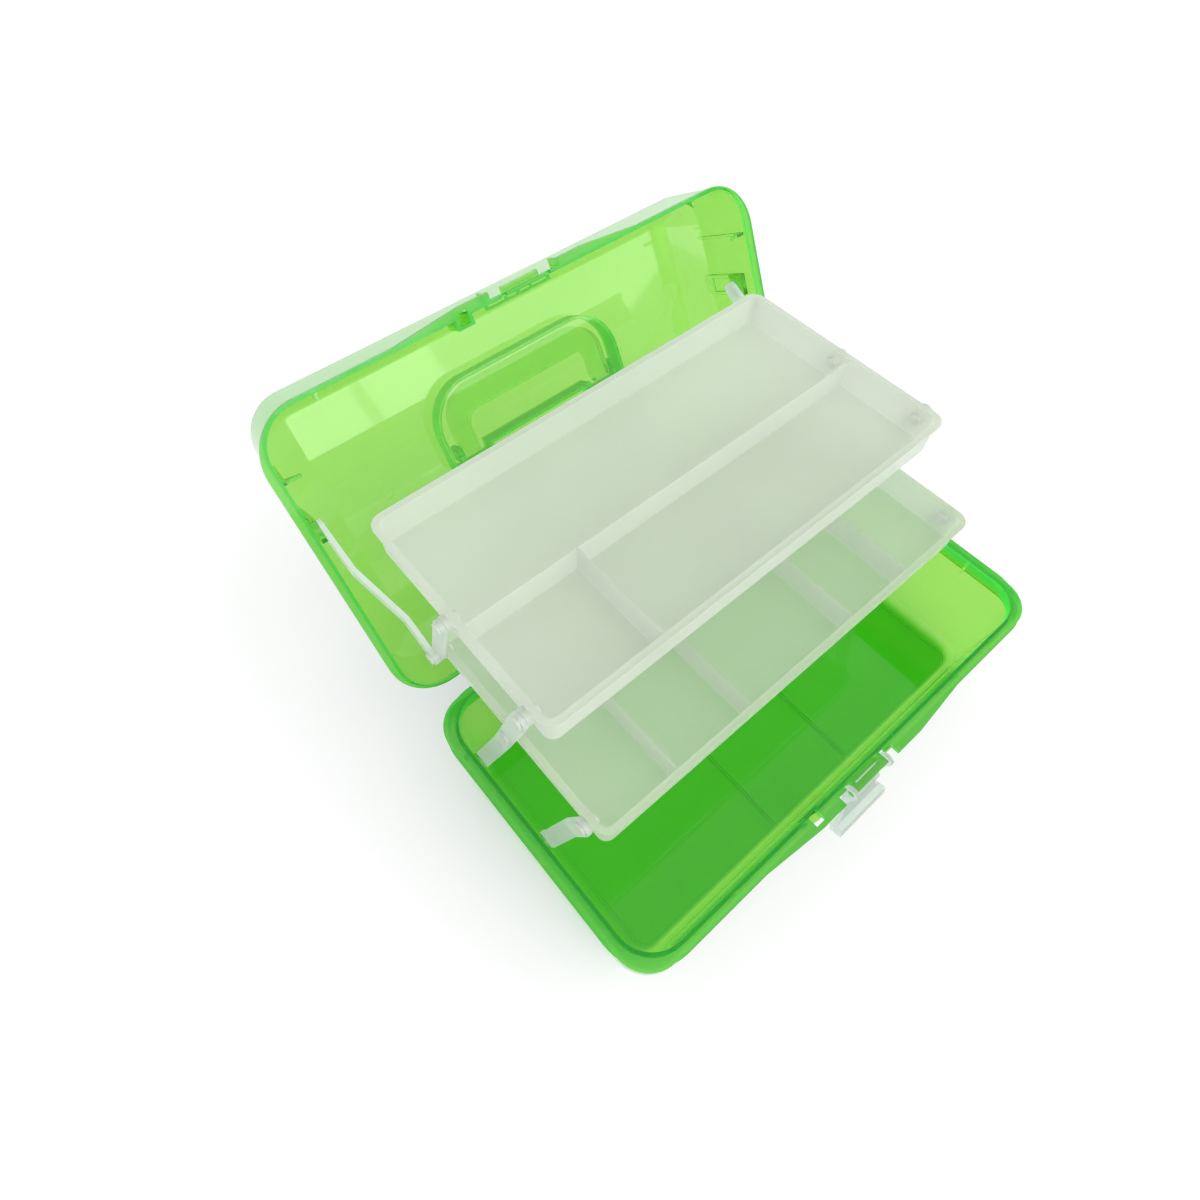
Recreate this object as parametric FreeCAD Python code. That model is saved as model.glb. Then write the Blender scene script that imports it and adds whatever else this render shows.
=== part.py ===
import FreeCAD, Part
import math

# Cantilever toolbox: base, lid, two lift-out trays on folding arms.
# Millimetres. X along the length, Y to the back, Z up, origin at the middle of the foot plane.
# Shapes are drawn about the rim plane (z = 0) with the lid and latch closed,
# then turned to the open rest pose and lifted to stand on the ground.

V = FreeCAD.Vector
X_AXIS = V(1, 0, 0)

# Overall sizes
LENGTH = 330.0
DEPTH = 181.0
RIM_HEIGHT = 74.0
RIM_CORNER = 29.0
FLANGE = 2.6
PART_GAP = 0.3
END = LENGTH / 2
BACK = DEPTH / 2

# Base tub
BASE_WALL = 2.2
FLOOR = 2.4
FOOT = 1.6
RIM_INNER_X = END - 8.0
RIM_INNER_Y = BACK - 6.5
RIM_INNER_R = 21.0
KNEE_INNER_X = END - 13.3
KNEE_INNER_Y = BACK - 11.8
KNEE_INNER_R = 15.0
KNEE_HEIGHT = 3.0
FLOOR_INNER_X = END - 16.3
FLOOR_INNER_Y = BACK - 14.8
FLOOR_INNER_R = 12.0
SKIRT_X = END - 1.3
SKIRT_Y = BACK - 1.1
SKIRT_R = 20.5
SKIRT_WALL = 2.0
SKIRT_DROP = 12.0
TONGUE = 2.0
TONGUE_HEIGHT = 2.6
GUSSET = 1.6
GUSSETS_ALONG = (-99.0, 88.0, 125.0)
GUSSETS_ACROSS = (-45.0, 60.0)
FRONT_LIP_X = 41.0
FRONT_LIP_Y = BACK + 3.5
FRONT_LIP_TAPER = 40.0
FRONT_LIMIT = BACK + 10.0
FOOT_RIB_X = 34.0
FOOT_RIB = 1.8
FOOT_RING_X = END - 20.5
FOOT_RING_Y = BACK - 16.0
FOOT_RING_R = 9.0
FOOT_RING = 1.8

# Lid
LID_OPEN = 119.2
LID_WALL = 1.6
LID_RIM_X = END - 3.5
LID_RIM_Y = BACK - 0.5
LID_SHOULDER_X = END - 6.2
LID_SHOULDER_Y = BACK - 1.5
LID_CORNER = 23.6
LID_SHOULDER_Z = 40.0
PANEL_X = END - 26.8
PANEL_Y = BACK - 15.3
PANEL_CORNER = 4.0
LID_TOP = 49.6
SIDE_RIB_Y = -57.8
SIDE_RIB_DEPTH = 2.4
SIDE_RIB_FOOT = 10.0
CORNER_GUSSET_X = 124.4
CORNER_GUSSET_REACH = 6.0
RIB_THICK = 1.6
GATE_X = -108.0
GATE_Y = -11.0
GATE_R = 4.0

# Lid hinge
HINGE_Y = BACK + 4.21
HINGE_Z = -13.17
HINGE_X = 90.0
HINGE_PIN_R = 1.5
HINGE_BARREL_R = 4.6
EAR_HALF = 12.5
LUG_INNER = 13.0
LUG_OUTER = 19.0
EAR_FRONT_Y = BACK + 0.7
EAR_BACK_Y = BACK + 8.0
EAR_TOP_Z = 12.0
HEEL_REACH = 5.0

# Front latch and its bracket
GAP_LEFT = -23.0
GAP_RIGHT = 22.0
GAP_Y = BACK - 1.8
LATCH_Y = -BACK - 1.0
LATCH_Z = -3.0
LATCH_SWING = 165.0
LATCH_PIN_R = 2.0
LATCH_PLATE_NEAR = 2.8
LATCH_PLATE_FAR = 5.0
BRACKET_X = 13.0
BRACKET_FRONT = BACK + 3.0
LATCH_EAR_X = (13.4, 15.6)
LATCH_EAR_R = 4.3
LATCH_LENGTH = 45.0
LATCH_ROOT_X = 15.6
LATCH_ROOT = (5.0, 11.0)
LATCH_NECK_X = 14.0
LATCH_NECK = 27.0
LATCH_SHOULDER_X = 15.5
LATCH_SHOULDER = 33.0
LATCH_GRIP_X = 20.0
LATCH_FLARE = 38.0
LATCH_GRIP_FROM = 37.0
LATCH_GRIP_Y = (-6.8, 1.2)
LATCH_GRIP_ROUND = 1.2
LATCH_HOOK_X = 11.5
LATCH_HOOK_THICK = 2.2
LATCH_RIB = 0.8
EAR_NOTCH_X = (12.0, 16.6)
LID_NOTCH_X = (12.8, 16.3)
LID_NOTCH_TOP = 3.0
LEDGE_Z = 6.0
LEDGE_THICK = 2.5
HOOK_GAP = 0.5

# Padlock eye through both rims
PADLOCK_X0 = -44.0
PADLOCK_X1 = -37.2
PADLOCK_Y0 = -BACK - 0.7
PADLOCK_Y1 = -BACK + 6.0
PADLOCK_DEPTH = 12.0
PADLOCK_WALL = 1.5

# Carrying handle and its pocket
POCKET_X = 65.0
POCKET_FRONT = -50.5
POCKET_REAR = -5.0
POCKET_LOBE_X = 40.0
POCKET_MID_REAR = -11.0
POCKET_R = 26.0
POCKET_DEPTH = 12.0
HANDLE_X = 57.0
HANDLE_FRONT = -46.5
HANDLE_PIVOT_Y = -12.0
HANDLE_R = 20.0
HANDLE_THICK = 8.0
HANDLE_GRIP = 15.0
HANDLE_ARM = 11.0
HANDLE_PIN_R = 2.5

# Trays: half length, front edge, rim height in the open pose
TRAY_DEPTH = 143.35
TRAY_HEIGHT = 20.8
TRAY_WALL = 1.4
TRAY_LIP = 3.6
TRAY_INSET = 2.2
TRAY_CORNER = 8.0
TRAY_DIVIDER = 1.2
DIVIDER_DROP = 1.5
UPPER_X = END - 26.15
UPPER_FRONT = BACK - 83.66
UPPER_RIM = 98.08
LOWER_X = END - 24.1
LOWER_FRONT = BACK - 123.86
LOWER_RIM = 47.5
UPPER_LONG_DIVIDER = 66.0
UPPER_SHORT_DIVIDER_X = -69.0
LOWER_DIVIDERS_X = (-92.0, -41.0, 39.0, 86.0)

# Folding arms, all given in the open pose
ARM_ANGLE = 108.0
SHORT_BASE = (BACK - 90.5, -22.0)
LONG_BASE = (BACK - 32.0, -22.0)
ARM_LOWER = 64.7
ARM_TOTAL = 117.8
REAR_PIVOT = (BACK + 8.0, 39.53)
REAR_LENGTH = 53.1
LID_LINK_ANGLE = 24.42
LID_LINK_LENGTH = 88.63
ARM_WIDTH = 10.0
ARM_THICK = 2.4
REAR_WIDTH = 8.6
LID_LINK_WIDTH = 9.0
LID_LINK_THICK = 2.8
ARM_INNER_X = END - 23.4
ARM_BASE_X = END - 14.4
ARM_JOG = (10.0, 34.0)
ARM_GROOVE_ENDS = (2.0, 8.0)
REAR_JOG = (10.0, 20.0)
LID_LINK_LOW_X = END - 20.4
LID_LINK_HIGH_X = END - 13.1
LID_LINK_JOG = (24.0, 60.0)

# Pivots
RIVET_R = 2.5
HOLE_GAP = 0.08
RIVET_HEAD_R = 3.3
RIVET_HEAD = 2.0
RIVET_TIP_R = 3.3
RIVET_TIP = 0.9
SIDE_GAP = 0.4
TRAY_BOSS_R = 4.6
BASE_BOSS_R = 6.0
LINK_PIN_R = 2.0

# Slot in the lid's end walls for the lid link's upper pin, lid closed
GUIDE_Y0 = BACK - 123.5
GUIDE_Y1 = BACK - 110.3
GUIDE_Z0 = 8.0
GUIDE_Z1 = 42.0
GUIDE_FACE_X = END - 9.8
GUIDE_SLOT_Y0 = BACK - 121.4
GUIDE_SLOT_Y1 = BACK - 112.3
GUIDE_SLOT_Z0 = 14.3
GUIDE_SLOT_Z1 = 35.7
GUIDE_FLOOR_X = END - 7.8

FLOOR_TOP = -RIM_HEIGHT + FOOT + FLOOR
FLOOR_BOTTOM = -RIM_HEIGHT + FOOT
LIP_TOP = PART_GAP + FLANGE


def box(x0, x1, y0, y1, z0, z1):
    """Box between two corners."""
    return Part.makeBox(x1 - x0, y1 - y0, z1 - z0, V(x0, y0, z0))


def rod(x0, x1, y, z, r):
    """Cylinder along X."""
    return Part.makeCylinder(r, x1 - x0, V(x0, y, z), X_AXIS)


def rounded_wire(hx, hy, r, z, yc=0.0):
    """Closed rectangle with rounded corners at height z."""
    k = r * (1 - math.sqrt(0.5))
    y0, y1 = yc - hy, yc + hy
    corners = [
        (V(hx - r, y0, z), V(hx - k, y0 + k, z), V(hx, y0 + r, z)),
        (V(hx, y1 - r, z), V(hx - k, y1 - k, z), V(hx - r, y1, z)),
        (V(-hx + r, y1, z), V(-hx + k, y1 - k, z), V(-hx, y1 - r, z)),
        (V(-hx, y0 + r, z), V(-hx + k, y0 + k, z), V(-hx + r, y0, z)),
    ]
    edges = []
    for i, (start, mid, end) in enumerate(corners):
        edges.append(Part.Arc(start, mid, end).toShape())
        edges.append(Part.makeLine(end, corners[(i + 1) % 4][0]))
    return Part.Wire(edges)


def rounded_block(hx, hy, r, z0, z1, yc=0.0):
    """Upright block with a rounded rectangular outline."""
    return Part.Face(rounded_wire(hx, hy, r, z0, yc)).extrude(V(0, 0, z1 - z0))


def rounded_loft(sections):
    """Straight-sided solid through rounded rectangles (hx, hy, r, z)."""
    return Part.makeLoft([rounded_wire(*s) for s in sections], True, True)


def prism_x(points, x0, x1):
    """Solid from a YZ polygon, drawn out along X."""
    wire = Part.makePolygon([V(x0, y, z) for y, z in points + points[:1]])
    return Part.Face(wire).extrude(V(x1 - x0, 0, 0))


def prism_y(points, y0, y1):
    """Solid from an XZ polygon, drawn out along Y."""
    wire = Part.makePolygon([V(x, y0, z) for x, z in points + points[:1]])
    return Part.Face(wire).extrude(V(0, y1 - y0, 0))


def prism_z(points, z0, z1):
    """Solid from an XY polygon, drawn out along Z."""
    wire = Part.makePolygon([V(x, y, z0) for x, y in points + points[:1]])
    return Part.Face(wire).extrude(V(0, 0, z1 - z0))


def mirrored(shape):
    """Copy on the other side of the YZ plane."""
    return shape.mirror(V(0, 0, 0), X_AXIS)


def both_sides(shapes):
    """The shapes and their mirror copies."""
    return shapes + [mirrored(s) for s in shapes]


def turned(shape, y, z, angle):
    """Copy turned about an axis along X."""
    copy = shape.copy()
    copy.rotate(V(0, y, z), X_AXIS, angle)
    return copy


def opened(shape):
    """A closed-lid shape in the open rest pose."""
    return turned(shape, HINGE_Y, HINGE_Z, -LID_OPEN)


def along(start, angle, distance):
    """Point (y, z) at a distance from another in a direction in degrees."""
    a = math.radians(angle)
    return start[0] + distance * math.cos(a), start[1] + distance * math.sin(a)


def save(name, shape):
    """Lift a shape onto the ground and write it."""
    solid = shape.removeSplitter()
    solid.translate(V(0, 0, RIM_HEIGHT))
    if len(solid.Solids) != 1 or not solid.isValid():
        print("CHECK", name, len(solid.Solids), solid.isValid())
    solid.Solids[0].exportStep("parts/" + name + ".step")


SHORT_TOP = along(SHORT_BASE, ARM_ANGLE, ARM_LOWER)
LONG_MID = along(LONG_BASE, ARM_ANGLE, ARM_LOWER)
LONG_TOP = along(LONG_BASE, ARM_ANGLE, ARM_TOTAL)
REAR_TOP = along(REAR_PIVOT, ARM_ANGLE, REAR_LENGTH)
LID_LINK_TOP = along(REAR_PIVOT, LID_LINK_ANGLE, LID_LINK_LENGTH)


def padlock_housing(z0, z1):
    """Thickened wall round the padlock recess."""
    w = PADLOCK_WALL
    return box(PADLOCK_X0 - w, PADLOCK_X1 + w, -SKIRT_Y + 0.5, PADLOCK_Y1 + w, z0, z1)


def padlock_space(z0, z1):
    """Room for the shackle, open to the front."""
    return box(PADLOCK_X0, PADLOCK_X1, -FRONT_LIMIT, PADLOCK_Y1, z0, z1)


def padlock_slot():
    """Slot through both rims."""
    return box(PADLOCK_X0, PADLOCK_X1, PADLOCK_Y0, PADLOCK_Y1, -FLANGE - 1, FLANGE + 1)


def front_lip(z0, z1):
    """Middle of the front rim, which stands out with long tapered ends."""
    end = FRONT_LIP_X + FRONT_LIP_TAPER
    pts = [(-end, -BACK + 2), (-end, -BACK), (-FRONT_LIP_X, -FRONT_LIP_Y),
           (FRONT_LIP_X, -FRONT_LIP_Y), (end, -BACK), (end, -BACK + 2)]
    return prism_z(pts, z0, z1)


def latch_bracket():
    """Block with a window and a cross bar whose ends carry the latch."""
    block = box(-BRACKET_X, BRACKET_X, -BRACKET_FRONT, -RIM_INNER_Y - 1, -6.0, 0.0)
    window = box(-10.0, 10.0, -SKIRT_Y, -SKIRT_Y + 2.6, -7.0, 1.0)
    trim = box(-10.0, 10.0, -BRACKET_FRONT - 1, -SKIRT_Y, -7.0, -5.0)
    pin = rod(-LATCH_EAR_X[1] + 0.2, LATCH_EAR_X[1] - 0.2, LATCH_Y, LATCH_Z, LATCH_PIN_R)
    return block.cut(window).cut(trim).fuse(pin)


def arm_stud(y, z):
    """Moulded boss, pin and head on the right end wall."""
    return [
        rod(ARM_BASE_X + ARM_THICK + SIDE_GAP, RIM_INNER_X - 0.6, y, z, BASE_BOSS_R),
        rod(ARM_BASE_X - SIDE_GAP, RIM_INNER_X - 2, y, z, RIVET_R),
        rod(ARM_BASE_X - SIDE_GAP - RIVET_TIP, ARM_BASE_X - SIDE_GAP, y, z, RIVET_TIP_R),
    ]


def hinge_lugs(x):
    """Pair of lugs for one hinge and the pad that stops the lid."""
    shapes = []
    for x0, x1 in ((x - LUG_OUTER, x - LUG_INNER), (x + LUG_INNER, x + LUG_OUTER)):
        low = HINGE_Z - HINGE_BARREL_R
        high = HINGE_Z + HINGE_BARREL_R
        lug = box(x0, x1, RIM_INNER_Y + 0.6, HINGE_Y, low, high)
        lug = lug.fuse(rod(x0, x1, HINGE_Y, HINGE_Z, HINGE_BARREL_R))
        shapes.append(lug.cut(rod(x0 - 1, x1 + 1, HINGE_Y, HINGE_Z, HINGE_PIN_R + 0.02)))
    pad = box(x - LUG_INNER, x + LUG_INNER, RIM_INNER_Y + 0.6, SKIRT_Y, HINGE_Z - 6, HINGE_Z + 4)
    return shapes + [pad]


def base_shell():
    t = BASE_WALL
    outer = rounded_loft([
        (FLOOR_INNER_X + t, FLOOR_INNER_Y + t, FLOOR_INNER_R + t, FLOOR_BOTTOM),
        (KNEE_INNER_X + t, KNEE_INNER_Y + t, KNEE_INNER_R + t, FLOOR_TOP + KNEE_HEIGHT - 1),
        (RIM_INNER_X + t, RIM_INNER_Y + t, RIM_INNER_R + t, 0.0),
    ])
    inner = rounded_loft([
        (FLOOR_INNER_X, FLOOR_INNER_Y, FLOOR_INNER_R, FLOOR_TOP),
        (KNEE_INNER_X, KNEE_INNER_Y, KNEE_INNER_R, FLOOR_TOP + KNEE_HEIGHT),
        (RIM_INNER_X, RIM_INNER_Y, RIM_INNER_R, 0.0),
    ])
    mouth = rounded_block(RIM_INNER_X, RIM_INNER_Y, RIM_INNER_R, -0.01, TONGUE_HEIGHT + 1)

    flange = rounded_block(END, BACK, RIM_CORNER, -FLANGE, 0.0).fuse(front_lip(-FLANGE, 0.0))
    skirt = rounded_block(SKIRT_X, SKIRT_Y, SKIRT_R, -SKIRT_DROP, 0.0)
    skirt_hole = rounded_block(SKIRT_X - SKIRT_WALL, SKIRT_Y - SKIRT_WALL,
                               SKIRT_R - SKIRT_WALL, -SKIRT_DROP - 1, -FLANGE)
    rim = flange.fuse(skirt.cut(skirt_hole))
    gap_low = -SKIRT_DROP - 8
    gap_rim = box(GAP_LEFT, GAP_RIGHT, -FRONT_LIMIT, -GAP_Y, gap_low, 1)
    gap_skirt = box(GAP_LEFT, GAP_RIGHT, -FRONT_LIMIT, -RIM_INNER_Y - t - 0.3, gap_low, -FLANGE)
    notch = box(*EAR_NOTCH_X, -FRONT_LIMIT, -BACK + 3.9, gap_low, 1)
    rim = rim.cut([gap_rim, gap_skirt] + both_sides([notch]))

    gussets = []
    for x in GUSSETS_ALONG:
        gussets.append(box(x, x + GUSSET, -SKIRT_Y + 1, -RIM_INNER_Y - 1, -SKIRT_DROP, -1))
        gussets.append(box(x, x + GUSSET, RIM_INNER_Y + 1, SKIRT_Y - 1, -SKIRT_DROP, -1))
    for y in GUSSETS_ACROSS:
        gussets.append(box(RIM_INNER_X + 1, SKIRT_X - 1, y, y + GUSSET, -SKIRT_DROP, -1))
        gussets.append(box(-SKIRT_X + 1, -RIM_INNER_X - 1, y, y + GUSSET, -SKIRT_DROP, -1))

    tongue = rounded_block(RIM_INNER_X + TONGUE, RIM_INNER_Y + TONGUE, RIM_INNER_R + TONGUE,
                           -1.0, TONGUE_HEIGHT)
    tongue_gap = box(PADLOCK_X0 - 8, GAP_RIGHT + 4, -FRONT_LIMIT, -RIM_INNER_Y + 4, 0, TONGUE_HEIGHT + 1)
    tongue = tongue.cut(tongue_gap)

    latch_stop = box(-12, 12, -SKIRT_Y + SKIRT_WALL, -RIM_INNER_Y - 0.6, -12.5, -8.0)
    studs = arm_stud(*SHORT_BASE) + arm_stud(*LONG_BASE)
    lugs = hinge_lugs(HINGE_X)
    foot_ring = rounded_block(FOOT_RING_X, FOOT_RING_Y, FOOT_RING_R, -RIM_HEIGHT, FLOOR_BOTTOM + 0.5)
    foot_ring = foot_ring.cut(rounded_block(
        FOOT_RING_X - FOOT_RING, FOOT_RING_Y - FOOT_RING, FOOT_RING_R - FOOT_RING,
        -RIM_HEIGHT - 1, FLOOR_BOTTOM + 1))
    half = FOOT_RIB / 2
    foot_ribs = [box(x - half, x + half, -FOOT_RING_Y + 1, FOOT_RING_Y - 1,
                     -RIM_HEIGHT, FLOOR_BOTTOM + 0.5) for x in (-FOOT_RIB_X, FOOT_RIB_X)]
    foot_ribs.append(box(-FOOT_RIB_X, FOOT_RIB_X, -half, half, -RIM_HEIGHT, FLOOR_BOTTOM + 0.5))

    shell = outer.fuse([rim, tongue, foot_ring] + gussets + foot_ribs + both_sides(lugs))
    shell = shell.cut(inner).cut(mouth)
    shell = shell.fuse([latch_bracket(), latch_stop] + both_sides(studs))
    shell = shell.fuse(padlock_housing(-PADLOCK_DEPTH - 1.5, -0.5))
    return shell.cut(padlock_space(-PADLOCK_DEPTH, -FLANGE)).cut(padlock_slot())


def pocket_outline(grow, z0, z1):
    """D-shaped pocket with two lobes at the back."""
    hx = POCKET_X + grow
    rear = POCKET_REAR + grow
    front = POCKET_FRONT - grow
    r = POCKET_R + grow
    k = r * (1 - math.sqrt(0.5))
    edges = [
        Part.makeLine(V(-hx, rear, z0), V(-hx, front + r, z0)),
        Part.Arc(V(-hx, front + r, z0), V(-hx + k, front + k, z0), V(-hx + r, front, z0)).toShape(),
        Part.makeLine(V(-hx + r, front, z0), V(hx - r, front, z0)),
        Part.Arc(V(hx - r, front, z0), V(hx - k, front + k, z0), V(hx, front + r, z0)).toShape(),
        Part.makeLine(V(hx, front + r, z0), V(hx, rear, z0)),
        Part.makeLine(V(hx, rear, z0), V(-hx, rear, z0)),
    ]
    block = Part.Face(Part.Wire(edges)).extrude(V(0, 0, z1 - z0))
    lobe = POCKET_LOBE_X - grow
    return block.cut(box(-lobe, lobe, POCKET_MID_REAR + grow, rear + 1, z0 - 1, z1 + 1))


def hinge_ear(x):
    """Lid ear round one hinge pin, with the heel that stops the lid."""
    x0, x1 = x - EAR_HALF, x + EAR_HALF
    stem = box(x0, x1, EAR_FRONT_Y, EAR_BACK_Y, HINGE_Z, EAR_TOP_Z)
    root = box(x0, x1, LID_RIM_Y - 1, EAR_BACK_Y, PART_GAP, EAR_TOP_Z)
    barrel = rod(x0, x1, HINGE_Y, HINGE_Z, HINGE_BARREL_R)
    a = math.radians(180 + LID_OPEN)
    nose = (math.cos(a), math.sin(a))
    side = (-nose[1], nose[0])
    pts = [(0.0, 0.0)]
    for t in (-0.6, 1.6):
        pts.append((HEEL_REACH * nose[0] + t * side[0], HEEL_REACH * nose[1] + t * side[1]))
    pts.append((EAR_BACK_Y - HINGE_Y, 0.0))
    heel = prism_x([(HINGE_Y + y, HINGE_Z + z) for y, z in pts], x0, x1)
    return stem.fuse([root, barrel, heel])


def lid_shell():
    t = LID_WALL
    outer = rounded_loft([
        (LID_RIM_X, LID_RIM_Y, LID_CORNER, PART_GAP),
        (LID_SHOULDER_X, LID_SHOULDER_Y, LID_CORNER, LID_SHOULDER_Z),
        (PANEL_X, PANEL_Y, PANEL_CORNER, LID_TOP),
    ])
    inner = rounded_loft([
        (LID_RIM_X - t, LID_RIM_Y - t, LID_CORNER - t, PART_GAP),
        (LID_SHOULDER_X - t, LID_SHOULDER_Y - t, LID_CORNER - t, LID_SHOULDER_Z - 0.6),
        (PANEL_X - 1.2, PANEL_Y - 1.2, PANEL_CORNER - 1, LID_TOP - t),
    ])
    flange = rounded_block(END, BACK, RIM_CORNER, PART_GAP, LIP_TOP).fuse(front_lip(PART_GAP, LIP_TOP))
    flange = flange.cut(box(GAP_LEFT, GAP_RIGHT, -FRONT_LIMIT, -LID_RIM_Y, -1, LIP_TOP + 1))
    ears = [hinge_ear(HINGE_X)]
    shell = outer.fuse([flange] + both_sides(ears)).cut(inner)
    bore = rod(HINGE_X - 20, HINGE_X + 20, HINGE_Y, HINGE_Z, HINGE_PIN_R + HOLE_GAP)
    shell = shell.cut(both_sides([bore]))

    floor_z = LID_TOP - POCKET_DEPTH
    tray = pocket_outline(t, floor_z - t, LID_TOP - 0.5)
    hollow = pocket_outline(0.0, floor_z, LID_TOP + 1)
    lug = box(HANDLE_X + 1.2, HANDLE_X + 4.4, HANDLE_PIVOT_Y - 4.5, HANDLE_PIVOT_Y + 4.5,
              floor_z - 0.5, LID_TOP - 2)
    pivot_z = floor_z + POCKET_DEPTH / 2
    lug = lug.cut(rod(HANDLE_X, HANDLE_X + 6, HANDLE_PIVOT_Y, pivot_z, HANDLE_PIN_R + HOLE_GAP))
    shell = shell.fuse(tray).cut(hollow).fuse(both_sides([lug]))

    guide = box(GUIDE_FACE_X, GUIDE_FLOOR_X + 1.2, GUIDE_Y0, GUIDE_Y1, GUIDE_Z0, GUIDE_Z1)
    slot = box(GUIDE_FACE_X - 1, GUIDE_FLOOR_X, GUIDE_SLOT_Y0, GUIDE_SLOT_Y1, GUIDE_SLOT_Z0, GUIDE_SLOT_Z1)
    guide = guide.cut(slot)
    low = LIP_TOP + 0.5
    side_rib = prism_y([
        (LID_RIM_X - 1.2, low), (LID_RIM_X - t - SIDE_RIB_FOOT, low),
        (LID_RIM_X - t - SIDE_RIB_FOOT, low + 2), (LID_RIM_X - t - SIDE_RIB_DEPTH, low + 5),
        (LID_SHOULDER_X - t - SIDE_RIB_DEPTH, LID_SHOULDER_Z - 1), (LID_SHOULDER_X - 1, LID_SHOULDER_Z - 1),
    ], SIDE_RIB_Y, SIDE_RIB_Y + RIB_THICK)
    front_gusset = prism_x([
        (-LID_RIM_Y + 0.8, low), (-LID_RIM_Y + CORNER_GUSSET_REACH, low), (-LID_RIM_Y + t, low + 9),
        (-LID_RIM_Y + 0.8, low + 9),
    ], CORNER_GUSSET_X, CORNER_GUSSET_X + RIB_THICK)
    details = both_sides([guide, side_rib, front_gusset])

    posts = [box(x, x + 2, -FRONT_LIP_Y, -LID_RIM_Y + 0.8, PART_GAP, 10.0)
             for x in (GAP_LEFT - 2.3, GAP_RIGHT + 0.3)]
    ledge = box(-12, 12, -BACK - 2, -LID_RIM_Y + 1, LEDGE_Z, LEDGE_Z + LEDGE_THICK)
    ladder_y = -LID_RIM_Y + t
    ladder = box(-27, 15, ladder_y - 0.4, ladder_y + 2.5, PART_GAP, 2.0)
    rungs = [(-25.5, -14.5), (-13.0, -6.5), (-5.0, 1.8), (3.3, 13.5)]
    ladder = ladder.cut([box(x0, x1, ladder_y + 0.1, ladder_y + 1.7, -1, 3) for x0, x1 in rungs])
    shell = shell.fuse(details + posts + [ledge, ladder])
    notch = box(*LID_NOTCH_X, -FRONT_LIMIT, -LID_RIM_Y + t + 0.2, -1, LID_NOTCH_TOP)

    shell = shell.fuse(padlock_housing(PART_GAP, PADLOCK_DEPTH + 1.5))
    shell = shell.cut(padlock_space(LIP_TOP, PADLOCK_DEPTH)).cut(padlock_slot())
    gate = Part.makeCylinder(GATE_R, 0.5, V(GATE_X, GATE_Y, LID_TOP - 0.5))
    return opened(shell.cut(both_sides([notch]) + [gate]))


def carry_handle():
    pivot_z = LID_TOP - POCKET_DEPTH / 2
    z0 = pivot_z - HANDLE_THICK / 2
    z1 = pivot_z + HANDLE_THICK / 2
    hx, r, front = HANDLE_X, HANDLE_R, HANDLE_FRONT
    k = r * (1 - math.sqrt(0.5))
    rear = HANDLE_PIVOT_Y
    inner_x = hx - HANDLE_ARM
    inner_front = front + HANDLE_GRIP
    inner_r = 9.0
    ki = inner_r * (1 - math.sqrt(0.5))
    edges = [
        Part.makeLine(V(-hx, rear, z0), V(-hx, front + r, z0)),
        Part.Arc(V(-hx, front + r, z0), V(-hx + k, front + k, z0), V(-hx + r, front, z0)).toShape(),
        Part.makeLine(V(-hx + r, front, z0), V(hx - r, front, z0)),
        Part.Arc(V(hx - r, front, z0), V(hx - k, front + k, z0), V(hx, front + r, z0)).toShape(),
        Part.makeLine(V(hx, front + r, z0), V(hx, rear, z0)),
        Part.makeLine(V(hx, rear, z0), V(inner_x, rear, z0)),
        Part.makeLine(V(inner_x, rear, z0), V(inner_x, inner_front + inner_r, z0)),
        Part.Arc(V(inner_x, inner_front + inner_r, z0), V(inner_x - ki, inner_front + ki, z0),
                 V(inner_x - inner_r, inner_front, z0)).toShape(),
        Part.makeLine(V(inner_x - inner_r, inner_front, z0), V(-inner_x + inner_r, inner_front, z0)),
        Part.Arc(V(-inner_x + inner_r, inner_front, z0), V(-inner_x + ki, inner_front + ki, z0),
                 V(-inner_x, inner_front + inner_r, z0)).toShape(),
        Part.makeLine(V(-inner_x, inner_front + inner_r, z0), V(-inner_x, rear, z0)),
        Part.makeLine(V(-inner_x, rear, z0), V(-hx, rear, z0)),
    ]
    body = Part.Face(Part.Wire(edges)).extrude(V(0, 0, z1 - z0))
    ends = rod(inner_x, hx, rear, pivot_z, HANDLE_THICK / 2)
    pin = rod(hx - 1, hx + 4.2, rear, pivot_z, HANDLE_PIN_R)
    return opened(body.fuse(both_sides([ends, pin])))


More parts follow.
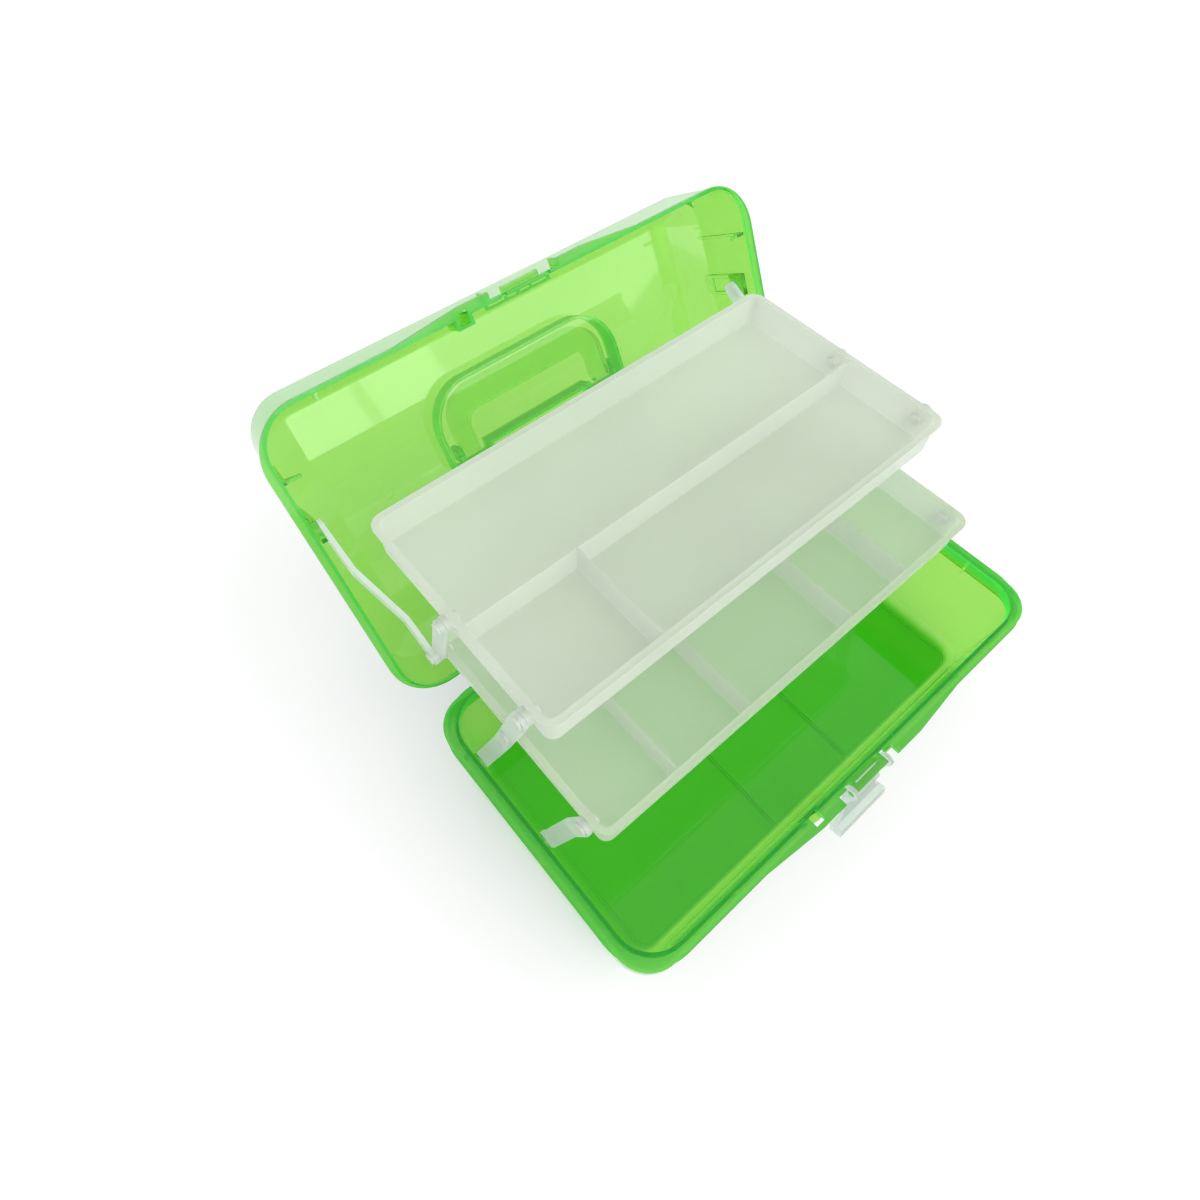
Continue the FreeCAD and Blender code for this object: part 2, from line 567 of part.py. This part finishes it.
def front_latch():
    near = LATCH_Y - LATCH_PLATE_NEAR
    far = LATCH_Y - LATCH_PLATE_FAR
    outline = [(-LATCH_ROOT_X, LATCH_ROOT[0]), (-LATCH_ROOT_X + 0.2, LATCH_ROOT[1]),
               (-LATCH_NECK_X, LATCH_NECK), (-LATCH_SHOULDER_X, LATCH_SHOULDER),
               (-LATCH_GRIP_X, LATCH_FLARE), (-LATCH_GRIP_X, LATCH_LENGTH)]
    outline = outline + [(-x, s) for x, s in reversed(outline)]
    plate = prism_y([(x, LATCH_Z + s) for x, s in outline], far, near)
    grip = box(-LATCH_GRIP_X, LATCH_GRIP_X, LATCH_Y + LATCH_GRIP_Y[0], LATCH_Y + LATCH_GRIP_Y[1],
               LATCH_Z + LATCH_GRIP_FROM, LATCH_Z + LATCH_LENGTH)
    long_edges = [e for e in grip.Edges if abs(e.Vertexes[0].X - e.Vertexes[1].X) > 1]
    grip = grip.makeFillet(LATCH_GRIP_ROUND, long_edges)
    ears = []
    for x0, x1 in ((-LATCH_EAR_X[1], -LATCH_EAR_X[0]), LATCH_EAR_X):
        arm = prism_x([(LATCH_Y + 2.0, LATCH_Z + 3.8), (LATCH_Y - LATCH_EAR_R, LATCH_Z), (far, LATCH_Z + 5.0),
                       (far, LATCH_Z + 16.0), (near, LATCH_Z + 16.0)], x0, x1)
        ear = arm.fuse(rod(x0, x1, LATCH_Y, LATCH_Z, LATCH_EAR_R))
        ears.append(ear.cut(rod(x0 - 1, x1 + 1, LATCH_Y, LATCH_Z, LATCH_PIN_R + HOLE_GAP)))
    hook_z = LEDGE_Z + LEDGE_THICK + HOOK_GAP
    hook = box(-LATCH_HOOK_X, LATCH_HOOK_X, near - 0.5, LATCH_Y + PART_GAP,
               hook_z, hook_z + LATCH_HOOK_THICK)
    rib = box(-LATCH_RIB, LATCH_RIB, far - LATCH_RIB, far + 0.5,
              LATCH_Z + 7, LATCH_Z + LATCH_GRIP_FROM + 0.5)
    latch = plate.fuse([grip, hook, rib] + ears)
    return turned(latch, LATCH_Y, LATCH_Z, LATCH_SWING)


def tray(hx, front, rim, dividers, pivots):
    """Open tray with a rim lip, dividers and side bosses at its pivots."""
    yc = front + TRAY_DEPTH / 2
    hy = TRAY_DEPTH / 2
    bottom = rim - TRAY_HEIGHT
    inset = TRAY_INSET
    walls = rounded_block(hx - inset, hy - inset, TRAY_CORNER - inset, bottom, rim, yc)
    lip = rounded_block(hx, hy, TRAY_CORNER, rim - 1.6, rim, yc)
    bosses = []
    holes = []
    for y, z in pivots:
        boss_end = ARM_INNER_X - SIDE_GAP
        bosses.append(rod(hx - inset - 0.5, boss_end, y, z, TRAY_BOSS_R))
        holes.append(rod(hx - 10, hx + 10, y, z, RIVET_R + 0.03))
    solid = walls.fuse([lip] + both_sides(bosses))
    opening = TRAY_LIP
    hollow = rounded_block(hx - opening, hy - opening, TRAY_CORNER - opening, bottom + TRAY_WALL, rim + 1, yc)
    solid = solid.cut(hollow).cut(both_sides(holes))
    half = TRAY_DIVIDER / 2
    top = rim - DIVIDER_DROP
    back = front + TRAY_DEPTH - opening + 0.5
    low = bottom + TRAY_WALL - 0.3
    walls_in = []
    for x, y_end in dividers:
        y1 = back if y_end is None else y_end
        walls_in.append(box(x - half, x + half, front + opening - 0.5, y1, low, top))
    return solid, walls_in


def upper_tray():
    y_long = UPPER_FRONT + UPPER_LONG_DIVIDER
    solid, inner = tray(UPPER_X, UPPER_FRONT, UPPER_RIM, [(UPPER_SHORT_DIVIDER_X, y_long)],
                        [LONG_TOP, REAR_TOP])
    half = TRAY_DIVIDER / 2
    reach = UPPER_X - TRAY_LIP + 0.5
    low = UPPER_RIM - TRAY_HEIGHT + TRAY_WALL - 0.3
    long_divider = box(-reach, reach, y_long - half, y_long + half, low, UPPER_RIM - DIVIDER_DROP)
    return solid.fuse(inner + [long_divider])


def lower_tray():
    solid, inner = tray(LOWER_X, LOWER_FRONT, LOWER_RIM, [(x, None) for x in LOWER_DIVIDERS_X],
                        [SHORT_TOP, LONG_MID, REAR_PIVOT])
    return solid.fuse(inner)


def strip(start, angle, length, width, thick, x_low, x_high, jog, holes, groove=None):
    """Arm on the right side: a strip along a line in YZ, stepping outwards or inwards in X."""
    r = width / 2
    pts = [(-r, x_low), (jog[0], x_low), (jog[1], x_high), (length + r, x_high),
           (length + r, x_high + thick), (jog[1], x_high + thick), (jog[0], x_low + thick),
           (-r, x_low + thick)]
    wire = Part.makePolygon([V(x, s, -r) for s, x in pts + pts[:1]])
    side = Part.Face(wire).extrude(V(0, 0, width))
    x0, x1 = min(x_low, x_high) - 1, max(x_low, x_high) + thick + 1
    outline = box(x0, x1, 0, length, -r, r)
    outline = outline.fuse([rod(x0, x1, 0, 0, r), rod(x0, x1, length, 0, r)])
    arm = side.common(outline)
    for s, hole_r in holes:
        arm = arm.cut(rod(x0, x1, s, 0, hole_r))
    if groove:
        s0, s1 = groove
        arm = arm.cut(box(x_high + thick - 0.6, x_high + thick + 1, s0, s1, -1.5, 1.5))
    arm.rotate(V(0, 0, 0), X_AXIS, angle)
    arm.translate(V(0, start[0], start[1]))
    return arm


def tray_rivet(hx, point, tip_x):
    """Rivet from inside a tray's end wall out through the arms."""
    y, z = point
    inside = hx - TRAY_LIP
    shape = rod(inside - RIVET_HEAD, inside, y, z, RIVET_HEAD_R)
    shape = shape.fuse(rod(inside - 0.1, tip_x, y, z, RIVET_R))
    return shape.fuse(rod(tip_x, tip_x + RIVET_TIP, y, z, RIVET_TIP_R))


save("base_shell", base_shell())
save("lid_shell", lid_shell())
save("carry_handle", carry_handle())
save("front_latch", front_latch())
save("upper_tray", upper_tray())
save("lower_tray", lower_tray())

PIVOT_HOLE = RIVET_R + HOLE_GAP
right_pieces = {
    "long_arm": strip(LONG_BASE, ARM_ANGLE, ARM_TOTAL, ARM_WIDTH, ARM_THICK, ARM_BASE_X,
                      ARM_INNER_X, ARM_JOG,
                      [(0, PIVOT_HOLE), (ARM_LOWER, PIVOT_HOLE), (ARM_TOTAL, PIVOT_HOLE)],
                      (ARM_JOG[1] + ARM_GROOVE_ENDS[0], ARM_LOWER - ARM_GROOVE_ENDS[1])),
    "short_arm": strip(SHORT_BASE, ARM_ANGLE, ARM_LOWER, ARM_WIDTH, ARM_THICK, ARM_BASE_X,
                       ARM_INNER_X, ARM_JOG, [(0, PIVOT_HOLE), (ARM_LOWER, PIVOT_HOLE)]),
    "rear_link": strip(REAR_PIVOT, ARM_ANGLE, REAR_LENGTH, REAR_WIDTH, ARM_THICK, ARM_INNER_X,
                       ARM_INNER_X, REAR_JOG, [(0, PIVOT_HOLE), (REAR_LENGTH, PIVOT_HOLE)]),
    "lid_link": strip(REAR_PIVOT, LID_LINK_ANGLE, LID_LINK_LENGTH, LID_LINK_WIDTH, LID_LINK_THICK,
                      LID_LINK_LOW_X, LID_LINK_HIGH_X, LID_LINK_JOG, [(0, PIVOT_HOLE)]).fuse(
        rod(LID_LINK_HIGH_X + 1, GUIDE_FLOOR_X - PART_GAP, LID_LINK_TOP[0], LID_LINK_TOP[1], LINK_PIN_R)),
    "hinge_pin": rod(HINGE_X - LUG_OUTER - 0.4, HINGE_X + LUG_OUTER + 0.4, HINGE_Y, HINGE_Z, HINGE_PIN_R),
}

arm_tip = ARM_INNER_X + ARM_THICK + SIDE_GAP
link_tip = LID_LINK_LOW_X + LID_LINK_THICK + SIDE_GAP
right_pieces["lower_front_rivet"] = tray_rivet(LOWER_X, SHORT_TOP, arm_tip)
right_pieces["lower_middle_rivet"] = tray_rivet(LOWER_X, LONG_MID, arm_tip)
right_pieces["lower_rear_rivet"] = tray_rivet(LOWER_X, REAR_PIVOT, link_tip)
right_pieces["upper_front_rivet"] = tray_rivet(UPPER_X, LONG_TOP, arm_tip)
right_pieces["upper_rear_rivet"] = tray_rivet(UPPER_X, REAR_TOP, arm_tip)

for piece, shape in right_pieces.items():
    save("right_" + piece, shape)
    save("left_" + piece, mirrored(shape))
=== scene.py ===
import math

import bpy
from mathutils import Euler, Matrix, Vector

# Looks and stage of the open toolbox. The solids keep their shapes and places, and this script
# gives them materials, light, a floor and the photo's camera. Metres, in the part's own frame.

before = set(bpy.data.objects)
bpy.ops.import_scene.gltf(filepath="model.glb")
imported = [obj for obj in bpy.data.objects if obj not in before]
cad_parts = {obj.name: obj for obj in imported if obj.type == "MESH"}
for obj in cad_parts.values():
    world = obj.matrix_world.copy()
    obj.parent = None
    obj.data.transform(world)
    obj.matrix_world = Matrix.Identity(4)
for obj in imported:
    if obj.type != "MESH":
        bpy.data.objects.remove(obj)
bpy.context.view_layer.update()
scene = bpy.context.scene

# Tint that one surface gives to the light through it
LID_GREEN = (0.39, 0.76, 0.135)
BASE_GREEN = (0.47, 0.83, 0.165)
HANDLE_GREEN = (0.83, 0.96, 0.64)
UPPER_FROST = (0.86, 0.95, 0.79)
# The lower tray's tint is greener than the upper's: frost with painted green light from the base
# around it
LOWER_FROST_AND_GREEN_LIGHT = (0.76, 0.91, 0.64)
ARM_FROST = (0.87, 0.96, 0.88)
LATCH_CLEAR = (0.86, 0.94, 0.89)

# Light that is scattered in the plastic, or guided along it, and comes out again; in the glow
# bands below, EDGE_GREEN is painted glow
EDGE_GREEN = (0.06, 0.80, 0.10)
UPPER_GLOW = (0.90, 0.96, 0.86)
# The lower tray's glow is greener too: painted green light from the base around it
LOWER_GLOW = (0.84, 0.95, 0.82)

# Light that the depth of the green plastic lets through, and how fast it takes the rest
DEPTH_GREEN = (0.02, 0.90, 0.20)
SHELL_DENSITY = 30.0
HANDLE_DENSITY = 12.0

# Light that reaches the ground through the base's floor, which lies below this height
FLOOR_TINT = (0.27, 0.80, 0.07)
FLOOR_TOP = 0.0062

STEEL = (0.62, 0.63, 0.65)
WHITE = (1.0, 1.0, 1.0)

# How much the plastic bends light: less than in reality in the green pieces, which keeps
# their rims and edges from turning dark
GREEN_IOR = 1.25
PLASTIC_IOR = 1.49
COAT_ROUGHNESS = 0.04

# Slight unevenness of moulded plastic and of drawn steel
NOISE_DETAIL = 3.0
DARK_BELOW = 0.35
LIGHT_ABOVE = 0.65
PLASTIC_DARKEST = 0.96
STEEL_DARKEST = 0.85
BUMP_STRENGTH = 0.10
BUMP_HEIGHT = 0.0004

# Directions along the frame and along the open lid
LID_OPEN = math.radians(119.2)
SIDEWAYS = (1.0, 0.0, 0.0)
UPWARDS = (0.0, 0.0, 1.0)
LID_RIM_TO_TOP = (0.0, math.sin(LID_OPEN), math.cos(LID_OPEN))
LID_BACK_TO_FRONT = (0.0, -math.cos(LID_OPEN), math.sin(LID_OPEN))

# Bands of painted glow, which stand in for light guided along the walls to the rims and pocket
# edges: where they start and end along a direction. FAR lies beyond every end of the part
FAR = 1.0
BASE_RIM = (UPWARDS, 0.0700, FAR)
LID_RIM = (LID_RIM_TO_TOP, -FAR, 0.0690)
POCKET_WIDTH = (SIDEWAYS, -0.0680, 0.0680)
POCKET_LENGTH = (LID_BACK_TO_FRONT, 0.1960, 0.2480)
POCKET_DEPTH = (LID_RIM_TO_TOP, 0.1046, 0.1138)

# Zones of painted glow on a piece: the share of glow, and the bands that all have to hold there
BASE_ZONES = ((0.50, (BASE_RIM,)),)
LID_ZONES = (
    (0.42, (LID_RIM,)),
    (0.40, (POCKET_WIDTH, POCKET_LENGTH, POCKET_DEPTH)),
)

# Faces that meet at more than this many degrees keep a sharp edge
SHARP_ANGLE = 20.0

# Floor, a little under the feet
GROUND_SIZE = 12.0
GROUND_DROP = 0.0004
GROUND_ROUGHNESS = 0.9
GROUND_SPECULAR = 0.1

# World: the light on the object, and the white that the camera sees
SOFT_LIGHT = 0.65
BACKDROP_LIGHT = 1.0

# Wide sun from the front
KEY_FROM = (0.35, -0.9, 0.9)
KEY_STRENGTH = 2.0
KEY_SPREAD = 70.0

# Window of four panes, whose reflection shows on the lid
WINDOW_AIM = (-0.09, 0.21, 0.14)
WINDOW_Y = -1.30
PANE_PLACES_X = (0.17, 0.41)
PANE_ROWS = ((0.60, 0.20), (0.40, 0.10))
PANE_WIDTH = 0.20
WATTS_PER_AREA = 5.75

# Camera of the photo: millimetres for the lens, degrees for the turn
SENSOR_WIDTH = 36.0
LENS = 22.244
NEAREST = 0.01
CAMERA_PLACE = (-0.19881, -0.08915, 0.46309)
CAMERA_TURN = (31.288, -0.860, -40.661)


def rgba(colour):
    """Opaque colour for a socket."""
    return (*colour, 1.0)


def add_node(tree, kind, inputs=None, **settings):
    """New node with its settings, and its inputs either linked to a socket or set to a value."""
    node = tree.nodes.new(kind)
    for setting, value in settings.items():
        setattr(node, setting, value)
    for key, value in (inputs or {}).items():
        if isinstance(value, bpy.types.NodeSocket):
            tree.links.new(value, node.inputs[key])
        else:
            node.inputs[key].default_value = value
    return node


def calculate(tree, operation, *values):
    """Math node on sockets and numbers."""
    node = add_node(tree, "ShaderNodeMath", dict(enumerate(values)), operation=operation)
    return node.outputs[0]


def mix_shaders(tree, factor, first, second):
    """Mix of two shaders by a number or a socket."""
    node = add_node(tree, "ShaderNodeMixShader", {"Fac": factor, 1: first, 2: second})
    return node.outputs["Shader"]


def own_space(tree):
    """Place in the piece's own space, which is the frame at rest."""
    return add_node(tree, "ShaderNodeTexCoord").outputs["Object"]


def new_material(name):
    """Empty node material with an output."""
    mat = bpy.data.materials.new(name)
    mat.use_nodes = True
    tree = mat.node_tree
    tree.nodes.clear()
    return mat, tree, add_node(tree, "ShaderNodeOutputMaterial")


def mottled(tree, scale, colour, darkest):
    """Noise, and the colour that it darkens down to a share of itself."""
    noise = add_node(tree, "ShaderNodeTexNoise",
                     {"Vector": own_space(tree), "Scale": scale, "Detail": NOISE_DETAIL})
    ramp = add_node(tree, "ShaderNodeValToRGB", {"Fac": noise.outputs["Fac"]})
    dark, light = ramp.color_ramp.elements
    dark.position = DARK_BELOW
    dark.color = rgba(part * darkest for part in colour)
    light.position = LIGHT_ABOVE
    light.color = rgba(colour)
    return noise.outputs["Fac"], ramp.outputs["Color"]


def glow_share(tree, inner, zones):
    """One share of glow in most of the piece, and in each zone another, which is painted glow."""
    share = inner
    for zone_share, bands in zones:
        inside = 1.0
        for direction, start, end in bands:
            place = add_node(tree, "ShaderNodeVectorMath", {0: own_space(tree), 1: direction},
                             operation="DOT_PRODUCT").outputs["Value"]
            for test, limit in (("GREATER_THAN", start), ("LESS_THAN", end)):
                passed = calculate(tree, test, place, limit)
                inside = calculate(tree, "MULTIPLY", inside, passed)
        # Inside the zone's bands the share becomes the zone's: painted glow
        share = calculate(tree, "MULTIPLY_ADD", inside, zone_share - inner, share)
    return share


def light_through(tree, shade, floor_tint):
    """Grey for light on its way to other surfaces, or a tint where it passes the base's floor."""
    grey = rgba((shade, shade, shade))
    if not floor_tint:
        return grey
    place = add_node(tree, "ShaderNodeSeparateXYZ", {"Vector": own_space(tree)})
    in_floor = calculate(tree, "LESS_THAN", place.outputs["Z"], FLOOR_TOP)
    pick = add_node(tree, "ShaderNodeMix", {"Factor": in_floor, "A": grey, "B": rgba(floor_tint)},
                    data_type="RGBA")
    return pick.outputs["Result"]


def see_through(name, tint, clear, rough, grain, shade, milky, glow=None, zones=(),
                ior=PLASTIC_IOR, coat=0.0, density=0.0, floor_tint=None):
    """See-through plastic.

    clear is its transmission, grain the scale of its unevenness, shade the grey in which it
    lets light on to other surfaces, milky its share of glow, and density what its depth takes.
    """
    mat, tree, out = new_material(name)
    noise, colour = mottled(tree, grain, tint, PLASTIC_DARKEST)
    bump = add_node(tree, "ShaderNodeBump",
                    {"Height": noise, "Strength": BUMP_STRENGTH, "Distance": BUMP_HEIGHT})
    body = add_node(tree, "ShaderNodeBsdfPrincipled", {
        "Base Color": colour,
        "Normal": bump.outputs["Normal"],
        "Roughness": rough,
        "IOR": ior,
        "Transmission Weight": clear,
        "Coat Weight": coat,
        "Coat Roughness": COAT_ROUGHNESS,
    })
    milk = add_node(tree, "ShaderNodeBsdfTranslucent", {"Color": rgba(glow) if glow else colour})
    # Zones raise the share of lit translucent green into painted glow on the rims and the pocket
    surface = mix_shaders(tree, glow_share(tree, milky, zones),
                          body.outputs["BSDF"], milk.outputs["BSDF"])

    passing = add_node(tree, "ShaderNodeBsdfTransparent",
                       {"Color": light_through(tree, shade, floor_tint)})
    path = add_node(tree, "ShaderNodeLightPath")
    for ray in ("Is Diffuse Ray", "Is Shadow Ray"):
        surface = mix_shaders(tree, path.outputs[ray], surface, passing.outputs["BSDF"])
    tree.links.new(surface, out.inputs["Surface"])

    if density:
        depth = add_node(tree, "ShaderNodeVolumeAbsorption",
                         {"Color": rgba(DEPTH_GREEN), "Density": density})
        tree.links.new(depth.outputs["Volume"], out.inputs["Volume"])
    return mat


def metal(name, colour, rough, grain):
    """Plain metal with fine marks."""
    mat, tree, out = new_material(name)
    shaded = mottled(tree, grain, colour, STEEL_DARKEST)[1]
    body = add_node(tree, "ShaderNodeBsdfPrincipled",
                    {"Base Color": shaded, "Metallic": 1.0, "Roughness": rough})
    tree.links.new(body.outputs["BSDF"], out.inputs["Surface"])
    return mat


def dress(looks):
    """Give each solid the first look whose ending fits its name, and smooth its round faces."""
    for name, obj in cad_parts.items():
        mat = next(mat for endings, mat in looks if name.endswith(endings))
        obj.data.materials.clear()
        obj.data.materials.append(mat)
        for poly in obj.data.polygons:
            poly.use_smooth = True
        obj.data.set_sharp_from_angle(angle=math.radians(SHARP_ANGLE))


def plain_floor():
    """White floor that keeps the object's shadow."""
    bpy.ops.mesh.primitive_plane_add(size=GROUND_SIZE, location=(0, 0, -GROUND_DROP))
    floor = bpy.context.object
    floor.name = "floor"
    mat, tree, out = new_material("floor")
    paint = add_node(tree, "ShaderNodeBsdfPrincipled", {
        "Base Color": rgba(WHITE),
        "Roughness": GROUND_ROUGHNESS,
        "Specular IOR Level": GROUND_SPECULAR,
    })
    tree.links.new(paint.outputs["BSDF"], out.inputs["Surface"])
    floor.data.materials.append(mat)


def studio_world():
    """Soft even light on the object, and white behind it for the camera, gloss and glass."""
    world = bpy.data.worlds.new("studio")
    scene.world = world
    world.use_nodes = True
    tree = world.node_tree
    tree.nodes.clear()
    out = add_node(tree, "ShaderNodeOutputWorld")
    soft, white = (
        add_node(tree, "ShaderNodeBackground", {"Color": rgba(WHITE), "Strength": strength})
        for strength in (SOFT_LIGHT, BACKDROP_LIGHT))
    path = add_node(tree, "ShaderNodeLightPath")
    seen = path.outputs["Is Camera Ray"]
    for ray in ("Is Glossy Ray", "Is Transmission Ray"):
        seen = calculate(tree, "MAXIMUM", seen, path.outputs[ray])
    both = mix_shaders(tree, seen, soft.outputs[0], white.outputs[0])
    tree.links.new(both, out.inputs["Surface"])


def lamp(name, kind, place, aim, strength):
    """Lamp at a place, turned towards a point."""
    data = bpy.data.lights.new(name, kind)
    data.energy = strength
    obj = bpy.data.objects.new(name, data)
    scene.collection.objects.link(obj)
    obj.location = place
    obj.rotation_mode = "QUATERNION"
    obj.rotation_quaternion = (Vector(aim) - Vector(place)).to_track_quat("-Z", "Y")
    return data


def studio_lamps():
    """Wide sun and the panes of the window."""
    key = lamp("key", "SUN", KEY_FROM, (0, 0, 0), KEY_STRENGTH)
    key.angle = math.radians(KEY_SPREAD)
    panes = [(x, z, high) for z, high in PANE_ROWS for x in PANE_PLACES_X]
    for i, (x, z, high) in enumerate(panes):
        watts = WATTS_PER_AREA * PANE_WIDTH * high
        pane = lamp("window_%d" % i, "AREA", (x, WINDOW_Y, z), WINDOW_AIM, watts)
        pane.shape = "RECTANGLE"
        pane.size = PANE_WIDTH
        pane.size_y = high


def photo_camera():
    """Camera at the place, turn and lens that the photo was taken with."""
    data = bpy.data.cameras.new("camera")
    data.sensor_width = SENSOR_WIDTH
    data.lens = LENS
    data.clip_start = NEAREST
    cam = bpy.data.objects.new("camera", data)
    scene.collection.objects.link(cam)
    turn = Euler([math.radians(angle) for angle in CAMERA_TURN])
    cam.matrix_world = Matrix.LocRotScale(Vector(CAMERA_PLACE), turn, None)
    scene.camera = cam


# Green lid, base and handle
green = {"clear": 0.96, "grain": 14.0, "ior": GREEN_IOR, "glow": EDGE_GREEN}
lid_plastic = see_through("lid_plastic", LID_GREEN, rough=0.05, shade=0.90, milky=0.06,
                          zones=LID_ZONES, coat=0.6, density=SHELL_DENSITY, **green)
base_plastic = see_through("base_plastic", BASE_GREEN, rough=0.07, shade=0.85, milky=0.06,
                           zones=BASE_ZONES, coat=0.5, density=SHELL_DENSITY,
                           floor_tint=FLOOR_TINT, **green)
handle_plastic = see_through("handle_plastic", HANDLE_GREEN, rough=0.06, shade=0.93, milky=0.04,
                             coat=0.5, density=HANDLE_DENSITY, **green)

# Frosted trays, rivets and arms, and the clear latch
frosted = {"rough": 0.38, "grain": 20.0, "shade": 0.88}
tray_plastic = see_through("tray_plastic", UPPER_FROST, clear=0.45, milky=0.32,
                           glow=UPPER_GLOW, **frosted)
# Lower tray: its greener tint and glow are painted green light from the base around it
lower_plastic = see_through("lower_plastic", LOWER_FROST_AND_GREEN_LIGHT, clear=0.50, milky=0.30,
                            glow=LOWER_GLOW, **frosted)
arm_plastic = see_through("arm_plastic", ARM_FROST, clear=0.60, rough=0.28, grain=40.0,
                          shade=0.92, milky=0.32)
latch_plastic = see_through("latch_plastic", LATCH_CLEAR, clear=0.75, rough=0.15, grain=30.0,
                            shade=0.93, milky=0.40)

steel = metal("pin_steel", STEEL, rough=0.32, grain=300.0)

dress((
    ("lid_shell", lid_plastic),
    ("base_shell", base_plastic),
    ("handle", handle_plastic),
    ("latch", latch_plastic),
    (("upper_tray", "rivet"), tray_plastic),
    ("lower_tray", lower_plastic),
    (("arm", "link"), arm_plastic),
    ("pin", steel),
))
plain_floor()
studio_world()
studio_lamps()
photo_camera()

scene.view_settings.view_transform = "Standard"
